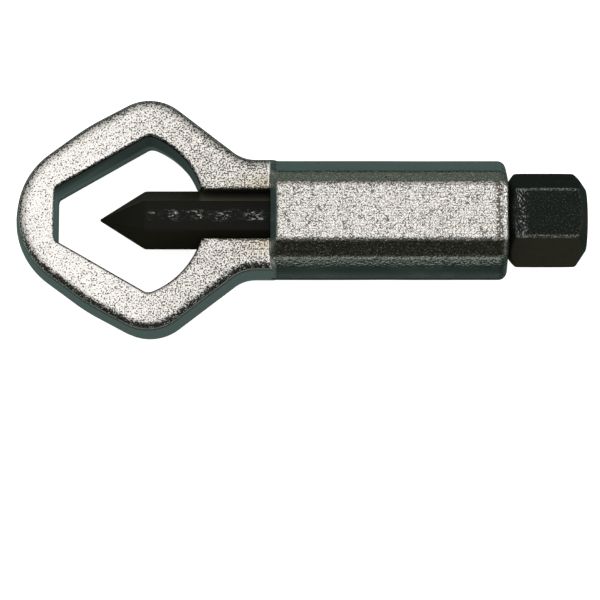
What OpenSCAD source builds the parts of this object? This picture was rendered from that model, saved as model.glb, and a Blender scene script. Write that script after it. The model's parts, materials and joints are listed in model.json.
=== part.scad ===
// Nut splitter: a forged ring with a nut window, drawn out into a slotted neck and a bevelled barrel.
// A chisel slides in the neck, and the pressure screw in the barrel drives it against the nut.
// Lengths are in millimetres and angles in degrees. The tool's axis runs along X, screw head towards +X.

/* [Nut window] */
// Width of the flat anvil that the nut is pressed against
anvil_w = 8.8; // [6:0.1:11]
// Slope of the two nut seats beside the anvil
seat_slope = 30; // [27:1:33]
// Distance from the anvil face to the mouth of the chisel slot
window_len = 28.35; // [26:0.05:31]
// Radius of the bow that closes the window on the chisel's side
window_bow_r = 15.7; // [14.5:0.1:17]
// Radius of the window's two side corners
window_corner_r = 2; // [1.5:0.1:3]
// Radius of the corners at the two ends of the anvil
anvil_corner_r = 0.8; // [0.4:0.1:1.5]
// Draft of the window's walls
window_draft = 5; // [2:0.5:7]
// Radius of the window's edges
window_edge_r = 0.8; // [0.5:0.1:1.6]

/* [Ring] */
// Thickness of the ring and the neck
ring_t = 14; // [12.5:0.1:16]
// Thickness of the ring's end wall behind the anvil
anvil_wall = 7.75; // [6:0.05:10]
// Outline radius of the ring's end
end_r = 15.5; // [13:0.1:18]
// Thickness of the ring's arms at its two side corners
apex_wall = 8.6; // [7.5:0.1:10.5]
// Outline radius of the ring's two side corners
apex_r = 9.7; // [8:0.1:11]
// How far the ring's outer sides bow out between its end and its side corners
arm_bow = 0.5; // [0.2:0.1:0.8]
// Radius of the bow in the ring's outer sides
arm_bow_r = 40; // [20:5:60]
// Draft of the ring's outer walls, both ways from the parting plane
ring_draft = 7; // [4:0.5:10]
// Radius of the ring's outer edges
ring_edge_r = 2.1; // [1.2:0.1:2.6]

/* [Neck] */
// Length of the neck, from the slot's mouth to the barrel's shoulder
neck_len = 13.15; // [11.5:0.05:16]
// Straight stretch of the neck in front of the shoulder
neck_flat = 3; // [2:0.1:5]
// Radius of the fillet between ring and neck
neck_fillet_r = 6; // [5:0.1:9]
// How much narrower the neck is than the barrel, on each side
neck_step = 0.35; // [0.1:0.05:0.6]
// Width of the slots that show the chisel on both faces of the neck
slot_w = 9.5; // [8:0.1:10.5]

/* [Barrel] */
// Length of the barrel, from its shoulder to its end
barrel_len = 45.55; // [38:0.05:55]
// Wall between the thread and the barrel's flats
barrel_wall = 3; // [2.5:0.1:4.5]
// Wall between the thread and the barrel's sides
barrel_side = 4.9; // [4:0.05:6]
// Width of the barrel's upper and lower flats
flat_w = 11; // [9:0.1:12.5]
// Height of the bevel beside each flat
bevel_h = 3.4; // [2.5:0.1:4]
// Width of the bevel beside each flat
bevel_w = 2.9; // [2.2:0.1:3.4]
// Radius of the barrel's side corners, along the parting plane
barrel_side_r = 1.2; // [0.8:0.1:3]
// Radius of the corners between flats, bevels and sides
bevel_r = 0.7; // [0.4:0.1:1]
// Length of the shoulder's slope
shoulder_run = 1.1; // [0.8:0.1:1.6]
// Width of the bevel along the shoulder's edge
shoulder_bevel = 0.4; // [0.2:0.1:0.6]
// Radius of the edges at the barrel's end
barrel_end_r = 1.7; // [0.8:0.1:2]

/* [Chisel] */
// Width across the flats of the chisel's hexagonal bar
chisel_af = 10; // [9:0.1:10.5]
// Length of the chisel
chisel_len = 42; // [38:0.5:48]
// Included angle of the chisel's six-sided point, over its corners
point_angle = 65; // [55:1:80]
// Width of the blunt end of the point
point_land = 0.4; // [0.2:0.05:0.8]
// Gap between the anvil and the point with the screw run right in
point_gap = 8.55; // [6:0.05:11]
// Chamfer at the chisel's rear end
chisel_chamfer = 0.8; // [0.4:0.1:1.2]
// Clearance between the chisel's corners and its bore
chisel_clear = 0.23; // [0.1:0.01:0.3]

/* [Guide pin] */
// Diameter of the pin that keeps the chisel from turning
pin_d = 3; // [2.5:0.1:3.4]
// Distance from the shoulder to the pin's axis
pin_setback = 3.3; // [2.8:0.1:4.5]
// Clearance between the pin and the chisel's lower flat
pin_clear = 0.1; // [0.05:0.01:0.2]
// Clearance of the pin in its hole
pin_fit = 0.01; // [0.005:0.005:0.02]
// How far the pin's ends lie below the barrel's bevels
pin_recess = 0.2; // [0.1:0.1:1]
// Chamfer at the pin's ends
pin_chamfer = 0.4; // [0.2:0.1:0.6]

/* [Thrust ball] */
// Diameter of the ball between chisel and screw
ball_d = 7; // [6:0.1:8]
// Clearance between the ball and its two seats
ball_clear = 0.05; // [0.02:0.01:0.1]
// Gap between the chisel and the screw's nose
nose_gap = 1; // [0.6:0.1:2]

/* [Pressure screw] */
// Outside diameter of the screw's thread
thread_d = 14; // [13:0.1:15]
// Clearance between the thread and its hole
thread_clear = 0.08; // [0.04:0.01:0.1]
// Depth of the full thread in front of the screw's nose
thread_run_out = 2.3; // [1.5:0.1:4]
// Chamfer at the mouth of the threaded hole
mouth_chamfer = 0.6; // [0.3:0.1:1]
// Chamfer at the screw's nose
nose_chamfer = 1.3; // [0.8:0.1:2]
// Depth of the undercut below the head
undercut_depth = 1.25; // [0.8:0.05:1.6]
// Length of the undercut below the head
undercut_len = 3; // [2:0.1:5]
// Width across the flats of the head
head_af = 16; // [15:0.5:19]
// Length of the head
head_len = 15.05; // [12:0.05:18]
// Diameter of the round faces at both ends of the head
head_face_d = 12; // [11:0.1:14.9]
// Slope of the head's chamfers
head_slope = 33; // [25:1:45]
// Gap between the head and the barrel with the screw run right in
head_gap = 0.15; // [0.1:0.05:1]

/* [Hidden] */
$fn = 96;
facet_tolerance = 0.02;
same_point = 0.0001;
edge_steps = 4;
// How far a cutting shape runs past the surface that it opens
overshoot = 1;
// Angle through which the forging's edges are rounded, short of a full quarter so that they cut its faces
edge_sweep = 66;
// How far the rounded edges run on past the faces that cut them
edge_run_on = 0.1;
// How far the neck's outline runs on past the slope that ends it
tail_run_on = 2;
// Corner radius of that outline, inside the barrel
tail_r = 1.5;
// How far the barrel's foot is sunk into the neck
foot_sink = 0.5;
// How far the slots run on into the shoulder's slope
slot_run_on = 0.2;

// Places along the axis are measured from the anvil face
shoulder_x = window_len + neck_len;
barrel_end_x = shoulder_x + barrel_len;
point_x = point_gap;
chisel_end_x = point_x + chisel_len;
nose_x = chisel_end_x + nose_gap;
thread_start_x = nose_x - thread_run_out;
head_x = barrel_end_x + head_gap;
tool_end_x = head_x + head_len;
bow_x = window_len - window_bow_r;
pin_x = shoulder_x + pin_setback;
ball_x = chisel_end_x + nose_gap / 2;

ring_half_t = ring_t / 2;
barrel_half_t = thread_d / 2 + barrel_wall;
barrel_half_w = thread_d / 2 + barrel_side;
neck_half_w = barrel_half_w - neck_step;
step_h = barrel_half_t - ring_half_t;
shoulder_rise = step_h / shoulder_run;
bevel_y = flat_w / 2 + bevel_w;
bevel_z = barrel_half_t - bevel_h;
chisel_corner_r = chisel_af / 2 / cos(30);
chisel_bore_r = chisel_corner_r + chisel_clear;
seat_r = ball_d / 2 + ball_clear;
pin_z = -(chisel_af / 2 + pin_clear + pin_d / 2);
pin_half_len = bevel_y + (bevel_z + pin_z - pin_d / 2) * bevel_w / bevel_h - pin_recess;
head_corner_r = head_af / 2 / cos(30);

// A rounded outline is a belt laid clockwise round circles [x, y, radius].
// A negative radius is a hollow corner. Each point of the belt is kept with its outward normal.
function clamp_cosine(c) = max(-1, min(1, c));
function belt_normal(a, b) =
    atan2(b.y - a.y, b.x - a.x) + acos(clamp_cosine((a.z - b.z) / norm([b.x - a.x, b.y - a.y])));
function full_turn(a) = a - 360 * floor(a / 360);
function arc_steps(r, sweep) = max(2, ceil(abs(sweep) / (2 * acos(1 - facet_tolerance / abs(r)))));
function belt_arc(c, from, sweep) =
    let (steps = arc_steps(c.z, sweep))
    [for (i = [0:steps])
        let (a = from + sweep * i / steps, n = [cos(a), sin(a)])
        [[c.x, c.y] + c.z * n, n]];
function without_repeats(path) =
    [for (i = [0:len(path) - 1])
        if (norm(path[i][0] - path[i == 0 ? len(path) - 1 : i - 1][0]) > same_point)
        path[i]];
function belt(circles) =
    let (last = len(circles) - 1)
    without_repeats([for (i = [0:last])
        let (
            from = belt_normal(circles[i == 0 ? last : i - 1], circles[i]),
            to = belt_normal(circles[i], circles[i == last ? 0 : i + 1]),
            sweep = circles[i].z > 0 ? -full_turn(from - to) : full_turn(to - from)
        )
        each belt_arc(circles[i], from, sweep)]);

// The circle that rounds the corner at b between a and c, for a belt
function corner_circle(a, b, c, r) =
    let (
        to_a = (a - b) / norm(a - b),
        to_c = (c - b) / norm(c - b),
        inward = (to_a + to_c) / norm(to_a + to_c),
        half_angle = acos(to_a * to_c) / 2,
        p = b + inward * r / sin(half_angle)
    )
    [p.x, p.y, r];

// Solid between copies of one outline: a level [height, amount] moves each point along its own drift
module loft(points, drifts, levels) {
    count = len(points);
    top = len(levels) - 1;
    vertices = [for (level = levels, i = [0:count - 1])
        let (p = points[i] + level[1] * drifts[i])
        [p.x, p.y, level[0]]];
    walls = [for (k = [0:top - 1], i = [0:count - 1])
        let (a = k * count + i, b = k * count + (i + 1) % count)
        each [[a, b, b + count], [a, b + count, a + count]]];
    floor_face = [for (i = [count - 1:-1:0]) i];
    roof_face = [for (i = [0:count - 1]) top * count + i];
    polyhedron(vertices, concat([floor_face], walls, [roof_face]));
}

// Levels of a drafted wall that rounds into an edge at half_t from the parting plane, and runs on past it
function drafted_wall(half_t, draft, edge_r) =
    let (
        last_angle = edge_sweep * (1 - 1 / edge_steps),
        lift = edge_r * (sin(edge_sweep) - sin(last_angle)) / 2,
        wall = [for (i = [0:edge_steps])
            let (t = edge_sweep * i / edge_steps, z = half_t + lift - edge_r * (sin(edge_sweep) - sin(t)))
            [z, z * tan(draft) + edge_r * (1 - cos(t))]]
    )
    concat(wall, [wall[edge_steps] + edge_run_on * [1, tan(edge_sweep)]]);
function both_ways(levels) =
    concat([for (i = [len(levels) - 1:-1:0]) [-levels[i][0], levels[i][1]]], [[0, 0]], levels);
function inward(levels) = [for (level = levels) [level[0], -level[1]]];

module placed() {
    translate([anvil_wall - (anvil_wall + tool_end_x) / 2, 0, barrel_half_t]) children();
}

// Turns a shape drawn along Z so that it lies along the tool's axis
module along_axis(x) {
    translate([x, 0, 0]) rotate([90, 0, 90]) children();
}

// Centre of the window's upper side corner, which touches both the seat and the bow
seat_dir = [cos(seat_slope), sin(seat_slope)];
seat_normal = [-seat_dir.y, seat_dir.x];
bow_centre = [bow_x, 0];
corner_reach = window_bow_r - window_corner_r;
corner_cosine = (-window_corner_r - (bow_centre - [0, anvil_w / 2]) * seat_normal) / corner_reach;
corner_dir = 90 + seat_slope - acos(corner_cosine);
window_corner = bow_centre + corner_reach * [cos(corner_dir), sin(corner_dir)];
window_half_w = window_corner.y + window_corner_r;

module window_cut() {
    anvil_end = [0, anvil_w / 2];
    anvil_corner = corner_circle([0, 0], anvil_end, anvil_end + seat_dir, anvil_corner_r);
    outline = belt([
        [anvil_corner.x, -anvil_corner.y, anvil_corner_r],
        anvil_corner,
        [window_corner.x, window_corner.y, window_corner_r],
        [bow_x, 0, window_bow_r],
        [window_corner.x, -window_corner.y, window_corner_r]
    ]);
    loft(
        [for (q = outline) q[0]],
        [for (q = outline) [max(q[1].x, 0), q[1].y]],
        both_ways(drafted_wall(ring_half_t, window_draft, window_edge_r))
    );
}

// Solid with an outline drawn in X and Z and mirrored in Z, carried across the tool
module across(width, upper) {
    lower = [for (i = [len(upper) - 1:-1:0]) [upper[i].x, -upper[i].y]];
    rotate([90, 0, 0]) linear_extrude(width, center = true) polygon(concat(upper, lower));
}

module ring_body() {
    end = [end_r - anvil_wall, 0, end_r];
    apex = [window_corner.x, window_half_w + apex_wall - apex_r, apex_r];
    fillet = [shoulder_x - neck_flat, neck_half_w + neck_fillet_r, -neck_fillet_r];
    tail = [shoulder_x + shoulder_run + tail_run_on - tail_r, neck_half_w - tail_r, tail_r];
    side_dir = belt_normal(end, apex);
    side_normal = [cos(side_dir), sin(side_dir)];
    side_middle = ([end.x + apex.x, end.y + apex.y] + (end_r + apex_r) * side_normal) / 2;
    bow = side_middle + (arm_bow - arm_bow_r) * side_normal;
    outline = belt([
        end,
        [bow.x, bow.y, arm_bow_r],
        apex,
        fillet,
        tail,
        [tail.x, -tail.y, tail.z],
        [fillet.x, -fillet.y, fillet.z],
        [apex.x, -apex.y, apex.z],
        [bow.x, -bow.y, arm_bow_r]
    ]);
    intersection() {
        loft(
            [for (q = outline) q[0]],
            [for (q = outline) q[1]],
            inward(both_ways(drafted_wall(ring_half_t, ring_draft, ring_edge_r)))
        );
        across(2 * (apex.y + apex_r + overshoot), [
            [-anvil_wall - overshoot, ring_half_t],
            [shoulder_x, ring_half_t],
            [shoulder_x + shoulder_run, ring_half_t - step_h]
        ]);
    }
}

module barrel_body() {
    flat = [flat_w / 2, barrel_half_t];
    bevel = [bevel_y, bevel_z];
    side = [barrel_half_w, 0];
    flip = [[1, 0], [0, -1]];
    right = [
        corner_circle(-[flat.x, -flat.y], flat, bevel, bevel_r),
        corner_circle(flat, bevel, side, bevel_r),
        corner_circle(bevel, side, flip * bevel, barrel_side_r),
        corner_circle(side, flip * bevel, flip * flat, bevel_r),
        corner_circle(flip * bevel, flip * flat, -flat, bevel_r)
    ];
    left = [for (i = [len(right) - 1:-1:0]) [-right[i].x, right[i].y, right[i].z]];
    section = [for (q = belt(concat(right, left))) q[0]];
    start = [[shoulder_x - overshoot, 0]];
    end = [for (i = [0:edge_steps])
        let (t = 90 * i / edge_steps)
        [barrel_end_x - barrel_end_r * (1 - sin(t)), barrel_end_r * (1 - cos(t))]];
    foot = [shoulder_x - foot_sink / shoulder_rise, ring_half_t - foot_sink];
    bevel_low = [shoulder_x + shoulder_run - shoulder_bevel / 2, barrel_half_t - shoulder_bevel / 2 * shoulder_rise];
    bevel_top = [shoulder_x + shoulder_run + shoulder_bevel, barrel_half_t];
    above = bevel_top + (bevel_top - bevel_low) / 2;
    intersection() {
        along_axis(0) loft(section, section / barrel_half_t, inward(concat(start, end)));
        across(2 * barrel_half_w + 2 * overshoot, [
            foot,
            bevel_low,
            above,
            [barrel_end_x + overshoot, above.y]
        ]);
    }
}

module frame() {
    color([0.85, 0.84, 0.82]) placed() difference() {
        union() {
            ring_body();
            barrel_body();
        }
        window_cut();
        translate([bow_x, -slot_w / 2, -ring_half_t - overshoot])
            cube([shoulder_x + slot_run_on - bow_x, slot_w, ring_t + 2 * overshoot]);
        along_axis(bow_x) cylinder(h = thread_start_x + overshoot - bow_x, r = chisel_bore_r);
        along_axis(0) rotate_extrude() polygon([
            [0, thread_start_x],
            [thread_d / 2 + thread_clear, thread_start_x],
            [thread_d / 2 + thread_clear, barrel_end_x - mouth_chamfer],
            [thread_d / 2 + thread_clear + mouth_chamfer + overshoot, barrel_end_x + overshoot],
            [0, barrel_end_x + overshoot]
        ]);
        translate([pin_x, 0, pin_z]) rotate([90, 0, 0])
            cylinder(h = 2 * barrel_half_w + 2 * overshoot, r = pin_d / 2 + pin_fit, center = true);
    }
}

module guide_pin() {
    color([0.62, 0.62, 0.62]) placed() translate([pin_x, 0, pin_z]) rotate([90, 0, 0]) rotate_extrude()
        polygon([
            [0, -pin_half_len],
            [pin_d / 2 - pin_chamfer, -pin_half_len],
            [pin_d / 2, -pin_half_len + pin_chamfer],
            [pin_d / 2, pin_half_len - pin_chamfer],
            [pin_d / 2 - pin_chamfer, pin_half_len],
            [0, pin_half_len]
        ]);
}

module thrust_ball() {
    color([0.7, 0.7, 0.7]) placed() translate([ball_x, 0, 0]) sphere(d = ball_d);
}

module chisel() {
    point_end_r = point_land / 2 + chisel_len * tan(point_angle / 2);
    color([0.13, 0.13, 0.13]) placed() difference() {
        intersection() {
            along_axis(0) cylinder(h = chisel_end_x, r = chisel_corner_r, $fn = 6);
            along_axis(point_x) cylinder(h = chisel_len, r1 = point_land / 2, r2 = point_end_r, $fn = 6);
            along_axis(0) rotate_extrude() polygon([
                [0, 0],
                [chisel_corner_r + overshoot, 0],
                [chisel_corner_r + overshoot, chisel_end_x - chisel_chamfer - overshoot],
                [chisel_corner_r - chisel_chamfer, chisel_end_x],
                [0, chisel_end_x]
            ]);
        }
        translate([ball_x, 0, 0]) sphere(r = seat_r);
    }
}

module pressure_screw() {
    chamfer_len = (head_corner_r - head_face_d / 2) * tan(head_slope);
    color([0.12, 0.12, 0.12]) placed() difference() {
        union() {
            along_axis(0) rotate_extrude() polygon([
                [0, nose_x],
                [thread_d / 2 - nose_chamfer, nose_x],
                [thread_d / 2, nose_x + nose_chamfer],
                [thread_d / 2, head_x - undercut_len - undercut_depth],
                [thread_d / 2 - undercut_depth, head_x - undercut_len],
                [thread_d / 2 - undercut_depth, head_x + overshoot],
                [0, head_x + overshoot]
            ]);
            intersection() {
                along_axis(head_x) cylinder(h = head_len, r = head_corner_r, $fn = 6);
                along_axis(head_x) rotate_extrude() polygon([
                    [0, 0],
                    [head_face_d / 2, 0],
                    [head_corner_r, chamfer_len],
                    [head_corner_r, head_len - chamfer_len],
                    [head_face_d / 2, head_len],
                    [0, head_len]
                ]);
            }
        }
        translate([ball_x, 0, 0]) sphere(r = seat_r);
    }
}

frame();
guide_pin();
chisel();
thrust_ball();
pressure_screw();
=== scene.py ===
import json
from types import SimpleNamespace

import bpy
import numpy as np
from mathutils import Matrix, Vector


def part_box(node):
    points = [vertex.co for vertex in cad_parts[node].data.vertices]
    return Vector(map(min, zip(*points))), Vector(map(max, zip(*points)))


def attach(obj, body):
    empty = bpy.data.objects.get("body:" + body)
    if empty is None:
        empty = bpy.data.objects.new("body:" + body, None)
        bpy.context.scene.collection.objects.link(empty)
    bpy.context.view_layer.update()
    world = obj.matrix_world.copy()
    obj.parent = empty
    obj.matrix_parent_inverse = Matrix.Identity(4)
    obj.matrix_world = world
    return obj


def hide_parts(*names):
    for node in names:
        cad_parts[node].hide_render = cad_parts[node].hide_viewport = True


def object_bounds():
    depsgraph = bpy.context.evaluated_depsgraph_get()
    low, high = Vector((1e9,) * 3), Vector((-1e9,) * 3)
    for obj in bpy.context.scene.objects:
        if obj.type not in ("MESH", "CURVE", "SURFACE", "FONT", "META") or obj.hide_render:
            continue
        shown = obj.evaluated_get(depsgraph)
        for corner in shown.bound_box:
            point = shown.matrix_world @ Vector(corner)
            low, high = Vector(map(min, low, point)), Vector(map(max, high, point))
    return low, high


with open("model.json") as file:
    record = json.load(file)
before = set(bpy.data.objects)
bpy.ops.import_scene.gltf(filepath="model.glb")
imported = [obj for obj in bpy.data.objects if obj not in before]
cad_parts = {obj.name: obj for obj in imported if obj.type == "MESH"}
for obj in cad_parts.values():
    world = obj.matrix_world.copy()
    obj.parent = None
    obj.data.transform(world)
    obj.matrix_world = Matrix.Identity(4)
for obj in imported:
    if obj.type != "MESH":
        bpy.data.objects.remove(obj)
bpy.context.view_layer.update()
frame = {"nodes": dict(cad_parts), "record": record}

# Forged frame
# Ring, neck and barrel are one drop forging in steel, drafted both ways from a parting plane and trimmed
# there. It is shot-blasted and bright plated: grainy on the faces, smoother along the trimmed sides.
# Lengths are in millimetres from the middle of the anvil face, x along the tool's axis.
mounts = {mount["name"]: mount["pos_m"] for mount in frame["record"]["mounts"]}
anvil_middle = np.array(mounts["anvil_face"])
mm = 0.001

ring_half_t = 7.0
ring_draft = 7.0
ring_edge_r = 2.0
end_wall = 7.75
end_r = 15.5
apex_wall = 8.6
apex_r = 9.7
arm_bow = 0.5
arm_bow_r = 40.0
anvil_w = 8.8
anvil_corner_r = 0.8
seat_slope = 30.0
window_len = 28.35
window_bow_r = 15.7
window_corner_r = 2.0
window_draft = 5.0
window_edge_r = 0.8
neck_len = 13.15
neck_flat = 3.0
neck_half_w = 11.55
neck_fillet_r = 6.0
neck_lip_r = 0.4
slot_half_w = 4.75
slot_edge_r = 0.35
mouth_r = 0.6
mouth_zone = 2.0
chisel_bore_r = 6.0
bore_skin = 0.05
tail_clear = 0.4
barrel_len = 45.55
barrel_half_t = 10.0
barrel_corner = (11.9, 0.0)
barrel_bevel = (8.4, 6.6)
barrel_flat = (5.5, barrel_half_t)
barrel_side_r = 1.2
flat_edge_r = 1.2
side_edge_r = 6.0
shoulder_run = 1.1
shoulder_r = 0.5
foot_sink = 0.5
barrel_end_r = 1.7
thread_bore_r = 7.08
thread_start = 49.25
mouth_chamfer = 0.6
mouth_lead_in = 2.0
pin_clear = 0.06
shoulder = window_len + neck_len
tail_x = shoulder + shoulder_run
barrel_end = shoulder + barrel_len
bow_middle = window_len - window_bow_r
mouth_y = slot_half_w + mouth_r
mouth_x = bow_middle + np.sqrt((window_bow_r + mouth_r) ** 2 - mouth_y ** 2)
shoulder_rise = (barrel_half_t - ring_half_t) / shoulder_run

# Steps of the forging's grids
skin_step = 0.4
face_steps = 16
mouth_rows = 3
lip_steps = 6
slope_steps = 8
rim_steps = 7
end_steps = 10

# Layers of the skin's relief: lump width, depth on sides, depth added on faces, noise kept at the surface
skin_layers = [(1.2, 0.0, 0.008, 0.7), (2.6, 0.008, 0.010, 0.7), (7.0, 0.025, 0.0, 0.9)]

# Finish of the forging: widths of its grain, and colours, some of which are painted reflections and shade
fine_grain = 0.32
peel_grain = 0.5
mottle_w = 1.7
cloud_w = 5.0
pit_spacing = 4.2
plate_dull = (0.76, 0.725, 0.69)
plate_bright = (0.86, 0.83, 0.795)
plate_by_neck = (0.68, 0.65, 0.61)
oil_stain = (0.56, 0.49, 0.35)
# Dirt in the grain's valleys, also used for painted dark reflections along the slot's edge and the rear rim.
dirt_and_painted_edge_shade = (0.07, 0.066, 0.055)
side_dull = (0.66, 0.68, 0.67)
side_bright = (0.76, 0.77, 0.76)
# Painted reflections on the barrel's sides: darker bevels, the near one most, a dark line along the far
# bevel's lower edge and a dull greenish strip on the near side. The far bevel's creases are real.
far_bevel_painted_shade = (0.36, 0.37, 0.345)
far_bevel_crease = (0.09, 0.10, 0.09)
near_bevel_painted_shade = (0.16, 0.163, 0.135)
bevel_edge_painted_shade = (0.14, 0.16, 0.15)
near_strip_painted_reflection = (0.36, 0.40, 0.38)
# Painted shade on the window's inner walls, lighter at the parting plane beside the anvil.
painted_wall_half_shade = (0.42, 0.43, 0.42)
painted_wall_shade = (0.07, 0.07, 0.065)
# Painted dark reflection for the ring's edges, where the faces round down into the sides.
painted_dark_edge = (0.05, 0.053, 0.05)
# Painted dark green reflection for the shoulder's slope, which is made hardly metallic.
painted_foot_reflection = (0.07, 0.11, 0.10)


def corner_circle(a, b, c, r):
    """Circle (x, y, r) that touches the lines b-a and b-c: its centre lies on their bisector, away from b by
    r / sin(half the angle)."""
    a, b, c = np.array(a), np.array(b), np.array(c)
    to_a = (a - b) / np.linalg.norm(a - b)
    to_c = (c - b) / np.linalg.norm(c - b)
    half_angle = np.arccos(to_a @ to_c) / 2
    inward = (to_a + to_c) / np.linalg.norm(to_a + to_c)
    return (*(b + inward * r / np.sin(half_angle)), r)


def belt(circles, first, last, arc_points=48):
    """Path of a belt laid clockwise over circles (x, y, r), with a negative r for a hollow and 0 for a
    point. Between two circles the normal is that of their common tangent: the angle of the line of centres
    plus acos(difference of radii / distance). On a circle the path is centre + r * normal, from one such
    angle to the next. Gives the path's points and normals, the length along it to each of them, and the
    length to the middle of each arc."""
    c = np.array(circles, float)
    step = c[1:, :2] - c[:-1, :2]
    apart = np.hypot(step[:, 0], step[:, 1])
    lean = np.arccos(np.clip((c[:-1, 2] - c[1:, 2]) / apart, -1, 1))
    bounds = np.concatenate([[first], np.arctan2(step[:, 1], step[:, 0]) + lean, [last]])
    share = np.linspace(0, 1, arc_points)
    angle = bounds[:-1, None] + np.diff(bounds)[:, None] * share
    normals = np.stack([np.cos(angle), np.sin(angle)], -1)
    points = (c[:, None, :2] + c[:, None, 2:] * normals).reshape(-1, 2)
    length = np.concatenate([[0], np.cumsum(np.linalg.norm(np.diff(points, axis=0), axis=1))])
    middles = length.reshape(len(c), arc_points)[:, arc_points // 2]
    return SimpleNamespace(points=points, normals=normals.reshape(-1, 2), length=length, middles=middles)


def along(path, keys, counts):
    """Points and normals of a belt at even steps between key lengths, as many between two keys as counts
    says."""
    runs = [np.linspace(a, b, n, endpoint=False) for a, b, n in zip(keys[:-1], keys[1:], counts)]
    at = np.concatenate([*runs, keys[-1:]])
    known = path.points, path.normals
    return [np.stack([np.interp(at, path.length, v[:, i]) for i in (0, 1)], -1) for v in known]


def between(count):
    """Even steps from 0 to 1, without the two ends."""
    return np.linspace(0, 1, count + 2)[1:-1]


def smooth_step(low, high, value):
    """0 below low, 1 above high, and 3 t^2 - 2 t^3 between them."""
    t = np.clip((value - low) / (high - low), 0, 1)
    return t * t * (3 - 2 * t)


def drafted_wall(draft, r, wall_points=14, arc_points=9):
    """Heights and insets of a drafted wall that rounds into the ring's face: inset = height * tan(draft) up
    to the arc, then an arc of radius r that touches the wall and ends level with the face."""
    lean = np.radians(draft)[:, None]
    r = r[:, None]
    arc_z = ring_half_t - r
    turn = lean + (np.pi / 2 - lean) * np.linspace(0, 1, arc_points)
    wall_z = (arc_z + r * np.sin(lean)) * np.linspace(0, 1, wall_points, endpoint=False)
    arc_in = arc_z * np.tan(lean) + r / np.cos(lean) - r * np.cos(turn)
    heights = np.concatenate([wall_z, arc_z + r * np.sin(turn)], 1)
    return heights, np.concatenate([wall_z * np.tan(lean), arc_in], 1)


def window_rounding():
    """Middle of the arc that joins the seat's slope to the window's bow. It lies window_corner_r inside
    both: away from the bow's middle by the difference of the radii, at an angle that follows from the
    slope's distance to that middle."""
    seat = np.radians(seat_slope)
    reach = window_bow_r - window_corner_r
    slope_away = bow_middle * np.sin(seat) + anvil_w / 2 * np.cos(seat)
    turn = np.radians(90 + seat_slope) - np.arccos((slope_away - window_corner_r) / reach)
    return np.array([bow_middle + reach * np.cos(turn), reach * np.sin(turn)])


def window_belt():
    """Half of the window and one side of the slot: anvil, seat, bow, mouth and slot, as a belt."""
    anvil_end = np.array([0, anvil_w / 2])
    seat = np.array([np.cos(np.radians(seat_slope)), np.sin(np.radians(seat_slope))])
    return belt([
        (0, 0, 0),
        corner_circle((0, 0), anvil_end, anvil_end + seat, anvil_corner_r),
        (*window_rounding(), window_corner_r),
        (bow_middle, 0, window_bow_r),
        (mouth_x, mouth_y, -mouth_r),
        (tail_x, slot_half_w, 0),
    ], np.pi, np.pi / 2)


def ring_belt():
    """Half of the outside: rounded end, slightly bowed arm, apex, and a fillet into the neck, as a belt. The
    apex's arc keeps apex_wall of metal outside the window's rounding."""
    rounding = window_rounding()
    end = np.array([end_r - end_wall, 0])
    apex = np.array([rounding[0], rounding[1] + window_corner_r + apex_wall - apex_r])
    arm = apex - end
    lean = np.arctan2(arm[1], arm[0]) + np.arccos((end_r - apex_r) / np.linalg.norm(arm))
    arm_normal = np.array([np.cos(lean), np.sin(lean)])
    arm_middle = (end + apex + (end_r + apex_r) * arm_normal) / 2
    return belt([
        (*end, end_r),
        (*(arm_middle + (arm_bow - arm_bow_r) * arm_normal), arm_bow_r),
        (*apex, apex_r),
        (shoulder - neck_flat, neck_half_w + neck_fillet_r, -neck_fillet_r),
        (tail_x, neck_half_w, 0),
    ], np.pi, np.pi / 2)


def outer_wall(points, normals):
    """The outer belt moved in by the drafted wall's inset at each height, and the heights."""
    same = np.ones(len(points))
    heights, inset = drafted_wall(ring_draft * same, ring_edge_r * same)
    return points[:, None] - normals[:, None] * inset[..., None], heights


def inner_wall(points, normals, mouth_row):
    """The window's belt moved out by the drafted wall's inset at each height, from the face down, and the
    heights. In the slot the draft goes and the edge radius shrinks. From mouth_row on, the wall keeps
    outside the slot's width and the window's bow. Behind the bow's middle it keeps outside the bore too,
    and past the shoulder it stands further back, inside the barrel's metal."""
    in_slot = smooth_step(mouth_x - mouth_r, mouth_x, points[:, 0])
    in_slot = in_slot * (points[:, 1] < slot_half_w + mouth_zone)
    edge_r = window_edge_r + (slot_edge_r - window_edge_r) * in_slot
    heights, inset = drafted_wall(window_draft * (1 - in_slot), edge_r)
    heights = heights[:, ::-1]
    outward = np.stack([np.maximum(normals[:, 0], 0), normals[:, 1]], -1)
    wall = (points[:, None] + outward[:, None] * inset[..., None])[:, ::-1]
    beyond = (np.arange(len(points)) >= mouth_row)[:, None]
    slot_y = slot_half_w + slot_edge_r * (heights == ring_half_t)
    wall[..., 1] = np.maximum(wall[..., 1], slot_y * beyond)
    window_z, window_inset = drafted_wall(np.array([window_draft]), np.array([window_edge_r]))
    bow = window_bow_r + np.interp(heights, window_z[0], window_inset[0])
    bow_x = bow_middle + np.sqrt(np.maximum(bow ** 2 - wall[..., 1] ** 2, 0))
    wall[..., 0] = np.where(beyond, np.maximum(wall[..., 0], bow_x), wall[..., 0])
    sunk = smooth_step(shoulder - 0.1, shoulder + 1, wall[..., 0])
    bore_y = np.sqrt(np.maximum((chisel_bore_r + bore_skin) ** 2 - heights ** 2, 0))
    wall[..., 1] = np.maximum(wall[..., 1], bore_y * (wall[..., 0] > bow_middle)) + sunk * tail_clear
    return wall, heights


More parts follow.
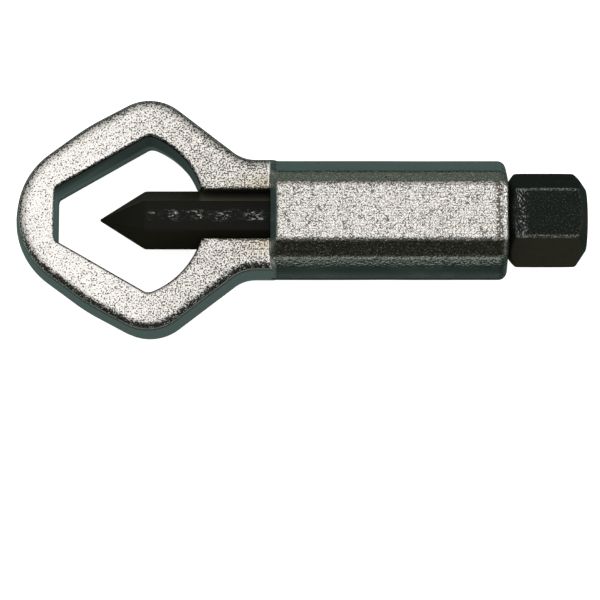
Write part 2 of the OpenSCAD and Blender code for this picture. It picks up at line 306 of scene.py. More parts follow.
def ring_and_neck():
    """A bar bent into the ring and its two legs: at each step along the outer belt a closed profile of outer
    wall, upper face, inner wall and their mirror image below reaches across to the inner belt. Past the
    shoulder it is cut down along the shoulder's slope, behind a small rounded lip."""
    outer = ring_belt()
    inner = window_belt()
    tail = np.array([shoulder_run + neck_lip_r, shoulder_run, 0])
    outer_keys = np.array([0, *outer.middles[[0, 2, 3]], *(outer.length[-1] - tail)])
    inner_keys = np.array([0, *inner.middles[[1, 2, 4]], *(inner.length[-1] - tail)])
    counts = np.ceil(np.maximum(np.diff(outer_keys), np.diff(inner_keys)) / skin_step).astype(int)
    counts[-2:] = lip_steps, slope_steps
    wall_out, out_z = outer_wall(*along(outer, outer_keys, counts))
    wall_in, in_z = inner_wall(*along(inner, inner_keys, counts), counts[:3].sum() - mouth_rows)
    share = between(face_steps)[:, None]
    face = wall_out[:, -1:] * (1 - share) + wall_in[:, :1] * share
    upper = np.concatenate([
        np.dstack([wall_out, out_z]),
        np.dstack([face, np.full(face.shape[:2], ring_half_t)]),
        np.dstack([wall_in, in_z]),
    ], 1)
    into_lip = np.clip(upper[..., 0] - shoulder + neck_lip_r, 0, neck_lip_r)
    top = ring_half_t - neck_lip_r + np.sqrt(neck_lip_r ** 2 - into_lip ** 2)
    top -= shoulder_rise * np.maximum(upper[..., 0] - shoulder, 0)
    upper[..., 2] = np.minimum(upper[..., 2], top)
    bar = np.concatenate([upper, upper[:, -2:0:-1] * (1, 1, -1)], 1)
    return np.concatenate([bar[:0:-1], bar * (1, -1, 1)])


def four_ways(quarter):
    """A closed section from its quarter between the +z and the +y axis, mirrored in y and z."""
    half = np.concatenate([quarter, quarter[-2::-1] * (1, -1)])
    return np.concatenate([half, half[-2:0:-1] * (-1, 1)])


def shoulder_x(z):
    """x of the shoulder's slope at a height: the height above the ring's face / rise, down to the foot."""
    return shoulder + np.maximum(np.abs(z) - ring_half_t, -foot_sink) / shoulder_rise


def barrel():
    """The bevelled section carried along the axis from the shoulder's slope, whose x depends on the height,
    and scaled down by its inset at both ends, then led round both rims into the bore, so that it closes on
    itself."""
    section = belt([
        (0, barrel_half_t, 0),
        corner_circle((0, barrel_half_t), barrel_flat, barrel_bevel, flat_edge_r),
        corner_circle(barrel_flat, barrel_bevel, barrel_corner, side_edge_r),
        corner_circle(barrel_bevel, barrel_corner, (barrel_bevel[0], -barrel_bevel[1]), barrel_side_r),
    ], np.pi / 2, 0)
    quarter, _ = along(section, section.length[[0, -1]], [round(section.length[-1] / skin_step)])
    ring = four_ways(quarter)
    round_ring = ring / np.linalg.norm(ring, axis=1, keepdims=True)
    quarter_turn = np.linspace(0, np.pi / 2, rim_steps)[:, None]
    straight = between(round(barrel_len / skin_step) - 2)[:, None]
    inset = np.concatenate([
        shoulder_r * (1 - np.sin(quarter_turn)),
        0 * straight,
        barrel_end_r * (1 - np.cos(quarter_turn)),
    ])
    section_yz = ring * (1 - inset[..., None] / barrel_half_t)
    front_x = shoulder_x(section_yz[:rim_steps, :, 1]) + shoulder_r * (1 - np.cos(quarter_turn))
    rear_x = barrel_end - barrel_end_r * (1 - np.sin(quarter_turn)) + 0 * front_x
    skin_x = np.concatenate([front_x, front_x[-1] * (1 - straight) + rear_x[0] * straight, rear_x])
    outside = np.dstack([skin_x, section_yz])
    foot_x = shoulder - foot_sink / shoulder_rise
    bore = np.array([
        (barrel_end, thread_bore_r + mouth_chamfer),
        (barrel_end - mouth_chamfer, thread_bore_r),
        *[(x, thread_bore_r) for x in np.linspace(barrel_end - mouth_lead_in, thread_start, 9)],
        *[(x, chisel_bore_r) for x in np.linspace(thread_start, foot_x, 6)],
    ])
    inside = np.concatenate([
        np.repeat(bore[:, :1, None], len(ring), 1),
        round_ring * bore[:, 1, None, None],
    ], 2)
    share = between(end_steps)[:, None, None]
    end_face = outside[-1] * (1 - share) + inside[0] * share
    front_face = inside[-1] * (1 - share) + outside[0] * share
    front_face[..., 0] = shoulder_x(front_face[..., 2])
    return np.concatenate([outside, end_face, inside, front_face])


def value_noise(points, cell, seed):
    """Smooth noise from -1 to 1: random values at the corners of a lattice of cubes, blended along each axis
    by smooth_step."""
    table = np.random.default_rng(seed).uniform(-1, 1, (64, 64, 64))
    low = np.floor(points / cell).astype(int)
    share = smooth_step(0, 1, points / cell - low)
    total = np.zeros(points.shape[:-1])
    for corner in np.ndindex(2, 2, 2):
        i, j, k = np.moveaxis((low + corner) % len(table), -1, 0)
        total += np.prod(np.where(corner, share, 1 - share), axis=-1) * table[i, j, k]
    return total


def grid_normals(points, close_rows):
    """Unit normals of a grid that is closed along its columns: the cross product of its two directions."""
    across = np.roll(points, -1, 1) - np.roll(points, 1, 1)
    if close_rows:
        down = np.roll(points, -1, 0) - np.roll(points, 1, 0)
    else:
        down = np.gradient(points, axis=0)
    normal = np.cross(down, across)
    return normal / np.maximum(np.linalg.norm(normal, axis=-1, keepdims=True), 1e-9)


def forged(points, close_rows):
    """The grid pushed in along its normals by the skin's layers of noise, most on the blasted faces."""
    normals = grid_normals(points, close_rows)
    on_face = smooth_step(0.6, 0.95, np.abs(normals[..., 2]))
    relief = np.zeros(points.shape[:-1])
    for seed, (width, depth, face_depth, surface) in enumerate(skin_layers, 1):
        relief += (depth + face_depth * on_face) * (value_noise(points, width, seed) - surface)
    return points + normals * relief[..., None]


def pin_hole(middle, half_len, r, columns=64):
    """A plain cylinder along y, for the drilled hole: circle * r at each end."""
    angle = np.linspace(0, 2 * np.pi, columns, endpoint=False)
    ends = np.array([-half_len, half_len])[:, None]
    x = middle[0] + r * np.cos(angle) + 0 * ends
    z = middle[2] + r * np.sin(angle) + 0 * ends
    return np.dstack([x, ends + 0 * angle, z])


def grid_faces(rows, columns, close_rows):
    """Quads between the neighbours of a grid that is closed along its columns, and if said along its rows
    too."""
    i = np.arange(rows * columns).reshape(rows, columns)
    i = np.hstack([i, i[:, :1]])
    if close_rows:
        i = np.vstack([i, i[:1]])
    return np.stack([i[:-1, :-1], i[1:, :-1], i[1:, 1:], i[:-1, 1:]], -1).reshape(-1, 4).tolist()


def make_piece(name, points, close_rows=False):
    """A mesh object from a grid of points in millimetres, with flat caps on its first and last row if they
    are open."""
    rows, columns = points.shape[:2]
    faces = grid_faces(rows, columns, close_rows)
    if not close_rows:
        faces += [list(range(columns)), list(range((rows - 1) * columns, rows * columns))[::-1]]
    mesh = bpy.data.meshes.new(name)
    mesh.from_pydata(anvil_middle + mm * points.reshape(-1, 3), [], faces)
    mesh.polygons.foreach_set("use_smooth", np.ones(len(mesh.polygons), bool))
    piece = bpy.data.objects.new(name, mesh)
    bpy.context.scene.collection.objects.link(piece)
    return piece


def joined(piece, other, operation):
    """Joins other to piece, or cuts it out of piece, and removes it."""
    cut = piece.modifiers.new(operation.lower(), "BOOLEAN")
    cut.operation = operation
    cut.solver = "MANIFOLD"
    cut.object = other
    mesh = bpy.data.meshes.new_from_object(piece.evaluated_get(bpy.context.evaluated_depsgraph_get()))
    piece.modifiers.clear()
    piece.data = mesh
    bpy.data.objects.remove(other)


class Field:
    """A value, colour or vector that varies over a surface: the output of a shader node. Arithmetic on it
    adds Math nodes."""

    def __init__(self, socket):
        self.socket = socket
        self.tree = socket.id_data

    def maths(self, operation, *values):
        """One Math node on fields and numbers."""
        return node(self.tree, "Math", dict(enumerate(values)), operation=operation)[0]

    def __add__(self, other):
        return self.maths("ADD", self, other)

    def __sub__(self, other):
        return self.maths("SUBTRACT", self, other)

    def __rsub__(self, other):
        return self.maths("SUBTRACT", other, self)

    def __mul__(self, other):
        return self.maths("MULTIPLY", self, other)

    def __truediv__(self, other):
        return self.maths("DIVIDE", self, other)

    def __abs__(self):
        return self.maths("ABSOLUTE", self)


def plug(socket, value):
    """Links a field to a socket, or sets a number, vector or opaque colour on it."""
    if isinstance(value, Field):
        value.tree.links.new(value.socket, socket)
    elif socket.type == "RGBA":
        socket.default_value = (*value, 1)
    else:
        socket.default_value = value


def node(tree, kind, inputs, **settings):
    """Adds a shader node, whose inputs are given by name or number, and returns its outputs as fields,
    which are found by name or number too."""
    made = tree.nodes.new("ShaderNode" + kind)
    for key, value in settings.items():
        setattr(made, key, value)
    for key, value in inputs.items():
        plug(made.inputs[key], value)
    return {key: Field(output) for i, output in enumerate(made.outputs) for key in (output.name, i)}


def larger(a, b):
    """The larger of two fields."""
    return a.maths("MAXIMUM", a, b)


def root(value):
    """The square root of a field."""
    return value.maths("SQRT", value)


def fade(value, low, high, start=0.0, end=1.0):
    """A smooth step from start to end while value goes from low to high."""
    sockets = {"Value": value, "From Min": low, "From Max": high, "To Min": start, "To Max": end}
    return node(value.tree, "MapRange", sockets, interpolation_type="SMOOTHSTEP")["Result"]


def blend(share, a, b):
    """Number a where share is 0, and b where it is 1."""
    return node(share.tree, "Mix", {0: share, 2: a, 3: b})[0]


def mixed(share, a, b):
    """Colour a where share is 0, and b where it is 1."""
    return node(share.tree, "Mix", {0: share, 6: a, 7: b}, data_type="RGBA")[2]


def split(vector):
    """x, y and z of a vector."""
    parts = node(vector.tree, "SeparateXYZ", {0: vector})
    return parts["X"], parts["Y"], parts["Z"]


def in_millimetres(place):
    """x, y and z of a place in metres, as millimetres from the middle of the anvil face."""
    sockets = {"Vector": place, "Location": tuple(-anvil_middle / mm), "Scale": (1 / mm, 1 / mm, 1 / mm)}
    return split(node(place.tree, "Mapping", sockets)[0])


def grain(place, size, detail=2.0, roughness=0.5):
    """Cloudy noise from 0 to 1 whose lumps are about size millimetres wide."""
    sockets = {"Vector": place, "Scale": 1 / (size * mm), "Detail": detail, "Roughness": roughness}
    return node(place.tree, "TexNoise", sockets)["Fac"]


def bump(height, depth):
    """Normals of a surface that is raised by height times depth millimetres."""
    return node(height.tree, "Bump", {"Height": height, "Distance": depth * mm, "Strength": 1.0})[0]


def new_material(name, looks):
    """A material whose shader has the looks that a function works out from the surface's coordinates."""
    material = bpy.data.materials.new(name)
    material.use_nodes = True
    shader = material.node_tree.nodes["Principled BSDF"]
    for key, value in looks(node(material.node_tree, "TexCoord", {})).items():
        plug(shader.inputs[key], value)
    return material


def forging_places(coordinates):
    """What the forging's finish depends on: place and facing, with up 1 on the faces and 0 on the sides,
    masks for the barrel and its near half, and the noises. Worm is 0 along the orange peel's creases."""
    at = SimpleNamespace(place=coordinates["Object"], normal=coordinates["Normal"])
    at.x, y, z = in_millimetres(at.place)
    at.from_axis = abs(y)
    at.from_parting = abs(z)
    at.facing_x, at.facing_y, facing_z = split(at.normal)
    at.up = abs(facing_z)
    at.on_barrel = fade(at.x, shoulder + 0.3, shoulder + 1.2)
    at.off_barrel = 1.0 - at.on_barrel
    at.near = fade(at.facing_y, -0.5, -0.6) * at.on_barrel
    at.fine = grain(at.place, fine_grain)
    at.peel = grain(at.place, peel_grain, 1.5)
    at.clouds = grain(at.place, cloud_w, 3.0)
    at.ragged = (at.fine - 0.5) * 0.8
    at.worm = abs(at.peel - 0.49)
    cells = node(at.place.tree, "TexVoronoi", {"Vector": at.place, "Scale": 1 / (pit_spacing * mm)})
    chosen = fade(node(at.place.tree, "SeparateColor", {0: cells["Color"]})[0], 0.66, 0.70)
    at.pit = fade(cells["Distance"], 0.12, 0.06) * chosen * at.on_barrel
    return at


def face_and_side(at):
    """Shares of plated face and of side. The face ends raggedly where the surface turns down, sooner on the
    near half, and the barrel's rear rim belongs to it. What is left between them on the ring gets a painted
    dark reflection along the edge, which the near half's earlier end widens."""
    off_flat = fade(at.up, 0.995, 0.97) * at.on_barrel
    edge_up = at.up + at.ragged * fade(off_flat, 0, 1, 1.0, 2.4)
    # On the near half the face ends sooner, which widens the painted dark reflection along its edge.
    face = fade(edge_up - fade(at.facing_y, -0.05, -0.35, 0.0, 0.09), 0.81, 0.90)
    rear_rim = fade(at.facing_x, 0.3, 0.4) * at.on_barrel
    return larger(face, rear_rim), larger(fade(edge_up, 0.72, 0.64), at.on_barrel)


def plate_colour(at):
    """Cloudy bright plate, duller towards the neck and stained beside the slot. Dirt fills its valleys:
    specks on the ring, creases and pits on the barrel. The same dark colour paints ragged dark reflections
    along the slot's edge and in front of the rear rim. The lip at the neck's end has hardly any specks."""
    towards_neck = fade(at.x, -8.0, shoulder)
    plate = mixed(at.clouds, plate_dull, plate_bright)
    plate = mixed(fade(towards_neck, 0.2, 0.8, 0.0, 0.55), plate, plate_by_neck)
    by_slot = fade(at.x, shoulder - 11, shoulder - 1)
    stain = by_slot * fade(at.from_axis, 9.5, 5.2) * at.off_barrel
    plate = mixed(stain * fade(at.clouds, 0.25, 0.6, 0.15, 0.75), plate, oil_stain)
    mottle = grain(at.place, mottle_w, 1.0) - 0.5
    lip = fade(abs(at.x - (shoulder - 0.3)), 0.28, 0.16)
    speck_start = blend(towards_neck, 0.40, 0.49) + mottle * 0.16 - lip * 0.3
    speck = fade(at.fine - speck_start, 0.03, -0.03) * at.off_barrel
    crease = fade(at.worm - mottle * 0.06, 0.060, 0.030) * at.on_barrel
    # A painted dark reflection line in front of the rear rim's rounding.
    rim_x = at.x + (at.peel - 0.5) * 2.4
    rim_painted_line = fade(abs(rim_x - (barrel_end - 2.0)), 0.5, 0.3)
    # A painted dark reflection line along the slot's edge.
    slot_painted_line = fade(at.from_axis + at.ragged * 4.0, slot_half_w + 0.75, slot_half_w + 0.55)
    slot_painted_line = slot_painted_line * fade(by_slot, 0.0, 0.05) * at.off_barrel
    dirt_and_painted_lines = larger(larger(speck, crease), larger(rim_painted_line, slot_painted_line)) * 0.94
    return mixed(larger(dirt_and_painted_lines, at.pit), plate, dirt_and_painted_edge_shade)


def side_colour(at):
    """Smooth, cloudy sides. On the barrel the bevels are painted darker as reflections, the near one most,
    with creases on the far one and a painted dark reflection line along its lower edge, and a painted dull
    greenish reflection on a strip between the near one and the parting plane. The window's walls get
    painted shade, lighter at the parting plane beside the anvil."""
    side = mixed(at.clouds, side_dull, side_bright)
    bevel_up = at.up + at.ragged * 0.6
    # The bevels get painted darker reflections, the near one most; the far one keeps its real creases.
    far_bevel = mixed(fade(at.worm, 0.06, 0.03, 0.0, 0.75), far_bevel_painted_shade, far_bevel_crease)
    bevel = mixed(at.near, far_bevel, near_bevel_painted_shade)
    side = mixed(fade(bevel_up, 0.58, 0.62) * at.on_barrel, side, bevel)
    # A painted dark reflection line runs along the far bevel's lower edge.
    seam = fade(abs(bevel_up - 0.58), 0.06, 0.02, 0.0, 0.8)
    side = mixed(seam * (at.on_barrel - at.near), side, bevel_edge_painted_shade)
    # The near side's strip gets a painted dull greenish reflection.
    strip = fade(at.from_parting, 1.0, 3.0) * fade(at.from_parting, 5.2, 4.0)
    side = mixed(strip * at.near, side, near_strip_painted_reflection)
    # The window's inner walls get painted shade, lighter near the parting plane beside the anvil.
    window_middle = (anvil_middle[0] + bow_middle * mm, 0, 0)
    tree = at.place.tree
    to_middle = node(tree, "VectorMath", {0: window_middle, 1: at.place}, operation="SUBTRACT")["Vector"]
    inward = node(tree, "VectorMath", {0: to_middle, 1: at.normal}, operation="DOT_PRODUCT")["Value"]
    wall_shade_share = larger(fade(at.x, 3.0, 15.0), fade(at.from_parting, 1.0, 5.5))
    return mixed(fade(inward, 0.0, 4 * mm), side, mixed(wall_shade_share, painted_wall_half_shade, painted_wall_shade))


def forging_bump(at, on_strip):
    """Fine grain on the ring and orange peel on the barrel, deeper along the edges of the faces, shallower
    on the bevels and on the blasted strip of the barrel's sides, with none on the other sides. Pits go
    deeper."""
    height = blend(at.on_barrel, at.fine, at.peel) - 0.5
    depth = blend(at.on_barrel, 0.085, 0.14)
    on_face = fade(at.up, 0.995, 0.96, 1.0, 2.0)
    on_bevel = fade(at.near, 0, 1, 0.4, 0.6)
    amount = blend(fade(at.up, 0.68, 0.80), on_bevel, on_face)
    amount = blend(fade(at.up, 0.5, 0.62), on_strip * 0.45, amount)
    return bump(height * depth * amount - at.pit * 0.1, 1.0)


def plated_forging(coordinates):
    """Bright plating over a blasted skin, with a painted dark reflection along the edges and a painted dark
    green reflection on the shoulder's dull slope.
    """
    at = forging_places(coordinates)
    face, side_share = face_and_side(at)
    # Between face and side on the ring the colour is a painted dark reflection.
    edge = mixed(side_share, painted_dark_edge, side_colour(at))
    # The shoulder's slope gets a painted dark green reflection and little metal.
    foot = fade(at.facing_x, -0.5, -0.75) * fade(at.x, shoulder - 0.1, shoulder)
    on_strip = fade(at.from_parting, 3.4, 4.6) * at.on_barrel
    return {
        "Base Color": mixed(foot * 0.85, mixed(face, edge, plate_colour(at)), painted_foot_reflection),
        "Metallic": fade(foot, 0, 1, 1.0, 0.1),
        "Roughness": blend(face, fade(on_strip, 0, 1, 0.14, 0.05), 0.24),
        "Normal": forging_bump(at, on_strip),
    }


forging = make_piece("forged_frame", forged(ring_and_neck(), False))
joined(forging, make_piece("barrel_stock", forged(barrel(), True), True), "UNION")
pin_low, pin_high = (np.array(corner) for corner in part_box("guide_pin"))
pin_middle = ((pin_low + pin_high) / 2 - anvil_middle) / mm
hole_r = (pin_high[0] - pin_low[0]) / 2 / mm + pin_clear
joined(forging, make_piece("pin_hole", pin_hole(pin_middle, 2 * barrel_half_t, hole_r)), "DIFFERENCE")
forging.data.polygons.foreach_set("use_smooth", np.ones(len(forging.data.polygons), bool))
forging.data.materials.clear()
forging.data.materials.append(new_material("plated_forging", plated_forging))
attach(forging, "frame")
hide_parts("frame")

# Guide pin
# A hardened dowel pressed across the barrel below the chisel, which slides on it and so can't turn.
# It is centreless ground, so fine rings run round it, and its ends are plain.
pin_dark = (0.42, 0.42, 0.41)
pin_bright = (0.55, 0.55, 0.53)
ring_waves = {"Scale": 900.0, "Distortion": 3.0, "Detail": 2.0}


def ground_steel(coordinates):
    """Bare steel with grinding rings along the pin's own axis, y."""
    place = coordinates["Object"]
    rings = node(place.tree, "TexWave", {"Vector": place, **ring_waves}, bands_direction="Y")["Fac"]
    return {
        "Base Color": mixed(grain(place, 1.5), pin_dark, pin_bright),
        "Metallic": 1.0,
        "Roughness": fade(rings, 0, 1, 0.26, 0.4),
        "Normal": bump(rings, 0.004),
    }


guide_pin = frame["nodes"]["guide_pin"]
guide_pin.data.materials.clear()
guide_pin.data.materials.append(new_material("ground_pin", ground_steel))

# Chisel
# A length of hexagonal tool steel ground to a six-sided point at its front, hardened and blackened.
# It slides in the neck's bore, which scuffs its flats, and a dish in its rear end holds the ball.
chisel_point = (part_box("chisel")[0][0] - anvil_middle[0]) / mm
chisel_rear = (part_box("chisel")[1][0] - anvil_middle[0]) / mm
chisel_half_af = 5.0
chisel_corner = 5.7
point_angle = 65.0
point_land = 0.4
edge_softness = 0.16
point_softness = 0.02
rear_chamfer = 0.8
ball_low, ball_high = (np.array(corner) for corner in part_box("thrust_ball"))
ball_middle = ((ball_low + ball_high) / 2 - anvil_middle) / mm
ball_clear = 0.05
ball_seat_r = (ball_high[0] - ball_low[0]) / 2 / mm + ball_clear
point_steps = 48
flat_steps = 12
dish_steps = 8
chisel_black = (0.014, 0.0145, 0.011)
# Painted light on the chisel's far slopes and a painted brownish reflection on its near ones.
chisel_far_slope_painted_light = (0.034, 0.034, 0.024)
chisel_near_slope_painted_reflection = (0.024, 0.0225, 0.0145)
# Painted light on the chisel's far slope inside the slot, where shade falls.
painted_slot_light = (0.11, 0.105, 0.075)
bare_steel = (0.60, 0.63, 0.61)


def soft_min(a, b, softness):
    """The smaller of a and b, rounded where they cross: (a + b - sqrt((a - b)^2 + softness^2)) / 2."""
    return (a + b - np.sqrt((a - b) ** 2 + softness ** 2)) / 2


def crowded(count):
    """Steps from 0 to 1 that lie closer together towards both ends."""
    return smooth_step(0, 1, np.linspace(0, 1, count))


def chisel_grid():
    """Hexagon section carried along x. Its scale grows from the land at the point by tan(half the point's
    angle) until it is full, and its quarter runs along the upper flat and down the slope to the side
    corner. The rear end goes down into the ball's dish."""
    slope = np.tan(np.radians(point_angle / 2))
    point_end = chisel_point + (chisel_corner - point_land / 2) / slope
    x = np.concatenate([
        chisel_point + (point_end + 0.5 - chisel_point) * np.linspace(0, 1, point_steps),
        np.arange(point_end + 0.8, chisel_rear - rear_chamfer, skin_step),
        [chisel_rear - rear_chamfer, chisel_rear],
    ])
    flat_w = chisel_half_af / np.sqrt(3)
    steps = crowded(flat_steps)
    top_y = np.concatenate([flat_w * steps, flat_w + (chisel_corner - flat_w) * steps[1:]])
    top_z = soft_min(chisel_half_af + 0 * top_y, 2 * chisel_half_af - np.sqrt(3) * top_y, edge_softness)
    ring = four_ways(np.stack([np.append(top_y, chisel_corner), np.append(top_z, 0)], 1))
    growth = (point_land / 2 + (x - chisel_point) * slope) / chisel_corner
    scale = soft_min(growth, 1 + 0 * x, point_softness)
    scale[-1] = 1 - rear_chamfer / chisel_corner
    bar = np.dstack([np.repeat(x[:, None], len(ring), 1), scale[:, None, None] * ring])
    rim_r = np.sqrt(ball_seat_r ** 2 - (ball_middle[0] - chisel_rear) ** 2)
    dish_r = np.linspace(1, 0.1, dish_steps)[:, None] * rim_r
    dish_x = ball_middle[0] - np.sqrt(ball_seat_r ** 2 - dish_r ** 2)
    circle = ring / np.linalg.norm(ring, axis=1, keepdims=True)
    dish = np.dstack([np.repeat(dish_x, len(circle), 1), dish_r[..., None] * circle])
    return np.concatenate([bar, dish])


def black_oxide(coordinates, top, far, near, bare):
    """Oiled black oxide over steel: nearly black and rather dull, with painted light and reflections that
    make the far and near slopes a little different, and bare metal where bare is 1."""
    place = coordinates["Object"]
    across = split(coordinates["Normal"])[1]
    clouds = grain(place, 3.0, 4.0, 0.6)
    colour = mixed(clouds, 0.5 * np.array(top), top)
    # The far and near slopes get painted light and reflections.
    colour = mixed(fade(across, 0.4, 0.8), colour, far)
    colour = mixed(fade(across, -0.4, -0.8), colour, near)
    return {
        "Base Color": mixed(bare, colour, bare_steel),
        "Metallic": bare * 0.8,
        "Roughness": fade(clouds, 0.25, 0.75, 0.34, 0.5),
        "Specular IOR Level": 0.06,
        "Normal": bump(grain(place, 0.3, 3.0) + grain(place, 1.6) * 1.5, 0.02),
    }


def stretched(place, scale):
    """The place scaled along each axis, so that a pattern on it is drawn out where scale is below 1."""
    return node(place.tree, "Mapping", {"Vector": place, "Scale": scale})[0]


def black_chisel(coordinates):
    """Black oxide with broken bare streaks along the middle of the flats, where the bar rubs, and painted
    light on the far slope behind the window, inside the slot."""
    place = coordinates["Object"]
    x, y, _ = in_millimetres(place)
    streaks = fade(grain(stretched(place, (0.3, 1.0, 1.0)), 0.27, 3.0, 0.7), 0.52, 0.64)
    behind_point = fade(x, chisel_point + 9, chisel_point + 11)
    along_middle = fade(abs(y), 1.4, 0.3)
    patches = fade(grain(place, 2.6), 0.40, 0.60, 0.05, 1.0)
    # Inside the slot the far slope gets painted light.
    far_slope = mixed(fade(x, window_len - 1, window_len), chisel_far_slope_painted_light, painted_slot_light)
    bare = streaks * behind_point * along_middle * patches
    return black_oxide(coordinates, chisel_black, far_slope, chisel_near_slope_painted_reflection, bare)


chisel = make_piece("black_chisel", chisel_grid())
chisel.data.materials.append(new_material("black_chisel", black_chisel))
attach(chisel, "chisel")
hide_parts("chisel")

# Thrust ball
# A hardened bearing ball that takes the thrust between the turning screw and the chisel, which doesn't turn.
# It lies loose and greased between two dishes.
ball_bright = (0.66, 0.66, 0.66)
ball_greased = (0.58, 0.55, 0.46)


def bearing_steel(coordinates):
    """Polished steel under a thin, uneven film of grease."""
    film = grain(coordinates["Object"], 1.8, 3.0)
    return {
        "Base Color": mixed(film, ball_bright, ball_greased),
        "Metallic": 1.0,
        "Roughness": fade(film, 0.35, 0.7, 0.06, 0.3),
    }


thrust_ball = frame["nodes"]["thrust_ball"]
thrust_ball.data.materials.clear()
thrust_ball.data.materials.append(new_material("bearing_ball", bearing_steel))

# Pressure screw
# A turned screw with a right-hand thread, an undercut and a hexagon head chamfered at both ends, blackened.
# It is turned with a spanner and presses on the ball through a dish in its nose.
thread_r = 7.0
thread_pitch = 2.0
thread_depth = 1.23
crest_share = 0.125
root_share = 0.25
nose_gap = 0.5
nose_chamfer = 1.3
undercut_r = 5.75
undercut_len = 3.0
head_len = 15.05
head_half_af = 8.0
head_face_r = 6.0
head_front_r = 7.3
head_slope = 33.0
head_softness = 0.4
chamfer_margin = 0.3
nose_x = ball_middle[0] + nose_gap
head_end = (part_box("pressure_screw")[1][0] - anvil_middle[0]) / mm
head_start = head_end - head_len
pitch_steps = 16
chamfer_steps = 24
head_steps = 20
screw_black = (0.010, 0.015, 0.011)
# Painted shade on the screw's far slopes and a painted brownish reflection on its near ones.
screw_far_slope_painted_shade = (0.005, 0.006, 0.004)
screw_near_slope_painted_reflection = (0.022, 0.022, 0.013)


def screw_grid(columns=144):
    """Radius by x and turn. Thread: a wave of x / pitch + turn, cut flat at crest and root. Head: the
    hexagon's radius, half its width / cos(turn from the flat's middle), kept below the chamfers' cones."""
    turn = np.linspace(0, 2 * np.pi, columns, endpoint=False)
    rim_r = np.sqrt(ball_seat_r ** 2 - (nose_x - ball_middle[0]) ** 2)
    dish_r = np.linspace(0.1, 1, dish_steps) * rim_r
    dish_x = ball_middle[0] + np.sqrt(ball_seat_r ** 2 - dish_r ** 2)
    shank_end = head_start - undercut_len
    threaded_x = np.arange(nose_x, shank_end + 1, thread_pitch / pitch_steps)
    shank_x = np.concatenate([threaded_x, [head_start - 1, head_start]])
    wave = np.abs(2 * np.mod(shank_x[:, None] / thread_pitch + turn / (2 * np.pi), 1) - 1)
    flank = np.clip((wave - root_share) / (1 - root_share - crest_share), 0, 1)
    thread = thread_r - thread_depth * (1 - flank)
    nose = thread_r - nose_chamfer + (shank_x[:, None] - nose_x)
    run_out = undercut_r + np.maximum(shank_end - shank_x[:, None], 0)
    shank = np.minimum(np.minimum(thread, nose), run_out)
    rise = np.tan(np.radians(head_slope))
    chamfer_len = (head_half_af / np.cos(np.pi / 6) - head_face_r) * rise
    inner_len = chamfer_len + 2 * chamfer_margin
    head_x = np.concatenate([
        head_start + (chamfer_len + chamfer_margin) * np.linspace(0, 1, chamfer_steps),
        np.linspace(head_start + inner_len, head_end - inner_len, head_steps),
        head_end - (chamfer_len + chamfer_margin) * np.linspace(1, 0, chamfer_steps),
    ])
    sector = np.pi / 3
    hexagon = head_half_af / np.cos(np.mod(turn + sector / 2, sector) - sector / 2)
    front_cone = head_front_r + (head_x - head_start) / rise
    rear_cone = head_face_r + (head_end - head_x) / rise
    head = soft_min(hexagon, np.minimum(front_cone, rear_cone)[:, None], head_softness)
    end_face = np.linspace(1, 0.05, 6)[1:, None] * head[-1]
    x = np.concatenate([dish_x, shank_x, head_x, np.full(len(end_face), head_end)])
    r = np.concatenate([np.repeat(dish_r[:, None], columns, 1), shank, head, end_face])
    return np.dstack([np.repeat(x[:, None], columns, 1), r * np.sin(turn), r * np.cos(turn)])


def black_screw(coordinates):
    """Black oxide with bare flecks on the head's flats, and more of them behind its front chamfer and along
    its corners, where a spanner slips."""
    place = coordinates["Object"]
    x, y, z = in_millimetres(place)
    from_axis = abs(z)
    flecks = grain(place, 0.24, 3.0, 0.65)
    marks = grain(stretched(place, (1.0, 0.45, 0.45)), 0.24, 2.0, 0.6)
    near_front = fade(abs(x - (head_start + 2.2)), 1.6, 0.4)
    on_flat = fade(from_axis, 7.4, 7.8)
    at_corner = fade(abs(from_axis - head_half_af), 0.6, 0.1) * fade(abs(y), 4.1, 4.5)
    few = fade(flecks, 0.56, 0.70) * fade(on_flat, 0, 1, 0.03, 0.20)
    many = fade(marks, 0.54, 0.66) * near_front * on_flat
    worn = at_corner * fade(flecks, 0.48, 0.6)
    bare = larger(few, larger(many, worn) * 0.55) * fade(x, head_start, head_start + 1)
    return black_oxide(coordinates, screw_black, screw_far_slope_painted_shade, screw_near_slope_painted_reflection, bare)


screw = make_piece("black_screw", screw_grid())
screw.data.materials.append(new_material("black_screw", black_screw))
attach(screw, "screw")
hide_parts("pressure_screw")

# Floor
# A sheet of white card under the tool. The softbox lights it, and a glow of its own keeps it white.
# It is left out of reflections, so that the metal's sides mirror the room instead.
floor_half = 3.0
floor_gap = 0.02
floor_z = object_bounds()[0][2] - floor_gap * mm
white_card = {
    "Base Color": (0.9, 0.9, 0.9),
    "Roughness": 0.9,
    "Specular IOR Level": 0.0,
    "Emission Color": (1, 1, 1),
    "Emission Strength": 0.9,
}
floor_mesh = bpy.data.meshes.new("floor")
corners = [(-floor_half, -floor_half, floor_z), (floor_half, -floor_half, floor_z),
           (floor_half, floor_half, floor_z), (-floor_half, floor_half, floor_z)]
floor_mesh.from_pydata(corners, [], [(0, 1, 2, 3)])
floor_mesh.materials.append(new_material("white_card", lambda coordinates: white_card))
floor = bpy.data.objects.new("floor", floor_mesh)
floor.visible_glossy = False
bpy.context.scene.collection.objects.link(floor)

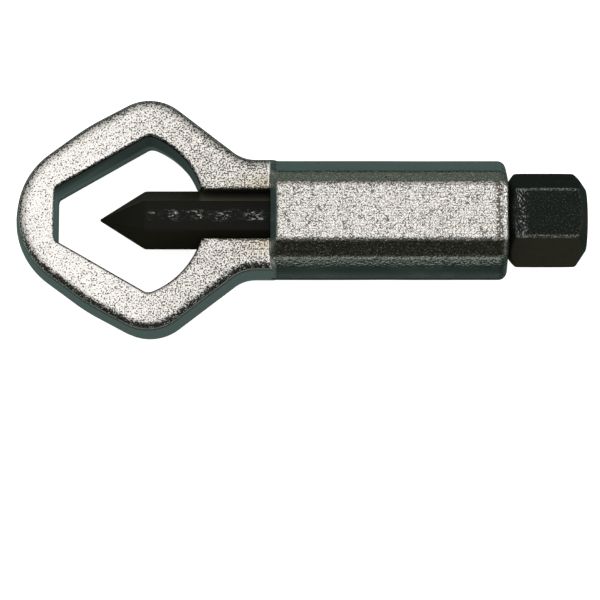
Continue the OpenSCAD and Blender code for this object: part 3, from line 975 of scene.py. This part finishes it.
# Studio light
# A softbox hangs over the tool and a smaller one stands low at the screw's end. The room's walls are pale or
# grey above the horizon and dark green below it, with one light band there for the bevels and edges to
# mirror. A wall's stops are (height of the direction, colour).
far_stops = [
    (-1.0, (0.080, 0.122, 0.110)), (-0.66, (0.078, 0.120, 0.109)), (-0.50, (0.030, 0.046, 0.040)),
    (-0.32, (0.390, 0.445, 0.370)), (-0.14, (0.040, 0.045, 0.040)), (0.05, (0.050, 0.050, 0.048)),
    (0.22, (0.85, 0.85, 0.82)), (0.60, (0.85, 0.85, 0.82)), (0.80, (0.26, 0.26, 0.25)),
    (1.0, (0.40, 0.40, 0.40)),
]
near_stops = [
    (-1.0, (0.087, 0.125, 0.115)), (-0.8, (0.075, 0.110, 0.100)), (-0.55, (0.022, 0.036, 0.032)),
    (-0.37, (0.030, 0.045, 0.040)), (-0.31, (0.550, 0.580, 0.530)), (-0.25, (0.080, 0.082, 0.062)),
    (0.14, (0.065, 0.066, 0.050)), (0.34, (0.36, 0.36, 0.35)), (0.60, (0.40, 0.40, 0.39)),
    (0.80, (0.10, 0.10, 0.10)), (1.0, (0.40, 0.40, 0.40)),
]
screw_end_wall = (0.8, 0.8, 0.78)
near_side = (0.35, -0.94)
backdrop = (0.97, 0.97, 0.97)


def soft_box(name, width, height, radiance, location):
    """A lamp aimed at the tool. Its power is radiance * pi * area."""
    lamp = bpy.data.lights.new(name, "AREA")
    lamp.shape = "RECTANGLE"
    lamp.size = width
    lamp.size_y = height
    lamp.energy = radiance * np.pi * width * height
    box = bpy.data.objects.new(name, lamp)
    box.location = location
    box.rotation_mode = "QUATERNION"
    box.rotation_quaternion = Vector(location).to_track_quat("Z", "Y")
    box.visible_camera = False
    bpy.context.scene.collection.objects.link(box)


def wall_colours(height, stops):
    """A colour ramp over the height of a direction, from -1 straight down to 1 straight up."""
    colours = node(height.tree, "ValToRGB", {0: height * 0.5 + 0.5})["Color"]
    ramp = colours.socket.node.color_ramp
    for _ in stops[2:]:
        ramp.elements.new(0.5)
    for element, (at, colour) in zip(ramp.elements, stops):
        element.position = at / 2 + 0.5
        element.color = (*colour, 1)
    return colours


def room_light(tree):
    """The walls' colours by direction: the near wall's share grows with the direction's part towards the
    near side / its level part. The camera sees a plain backdrop instead."""
    way_x, way_y, way_z = split(node(tree, "TexCoord", {})["Generated"])
    level = root(1.01 - way_z * way_z)
    towards_near = way_x * near_side[0] + way_y * near_side[1]
    near_share = fade(towards_near / level, -0.2, 0.5)
    walls = mixed(near_share, wall_colours(way_z, far_stops), wall_colours(way_z, near_stops))
    walls = mixed(fade(way_x, 0.80, 0.94), walls, screw_end_wall)
    lit = node(tree, "Background", {"Color": walls})[0]
    seen = node(tree, "Background", {"Color": backdrop})[0]
    by_camera = node(tree, "LightPath", {})["Is Camera Ray"]
    return node(tree, "MixShader", {0: by_camera, 1: lit, 2: seen})[0]


soft_box("overhead_box", width=0.8, height=0.8, radiance=1.06, location=(0, 0.08, 0.95))
soft_box("end_box", width=0.5, height=0.75, radiance=1.5, location=(0.8, 0, 0.4))
room = bpy.data.worlds.new("room")
room.use_nodes = True
plug(room.node_tree.nodes["World Output"].inputs["Surface"], room_light(room.node_tree))
bpy.context.scene.world = room
bpy.context.scene.view_settings.view_transform = "Standard"

# Camera
# A long lens looks down from above, slightly from the near side.
# It is aimed below the tool's axis, so that the tool lies in the upper half of the picture.
camera_distance = 0.6
camera_elevation = np.radians(80.5)
aim = Vector((-0.00013, -0.0156, anvil_middle[2]))
back = Vector((0, -np.cos(camera_elevation), np.sin(camera_elevation)))
camera_data = bpy.data.cameras.new("camera")
camera_data.lens = 187
camera_data.sensor_width = 36
camera = bpy.data.objects.new("camera", camera_data)
camera.location = aim + back * camera_distance
camera.rotation_mode = "QUATERNION"
camera.rotation_quaternion = (-back).to_track_quat("-Z", "Y")
bpy.context.scene.collection.objects.link(camera)
bpy.context.scene.camera = camera
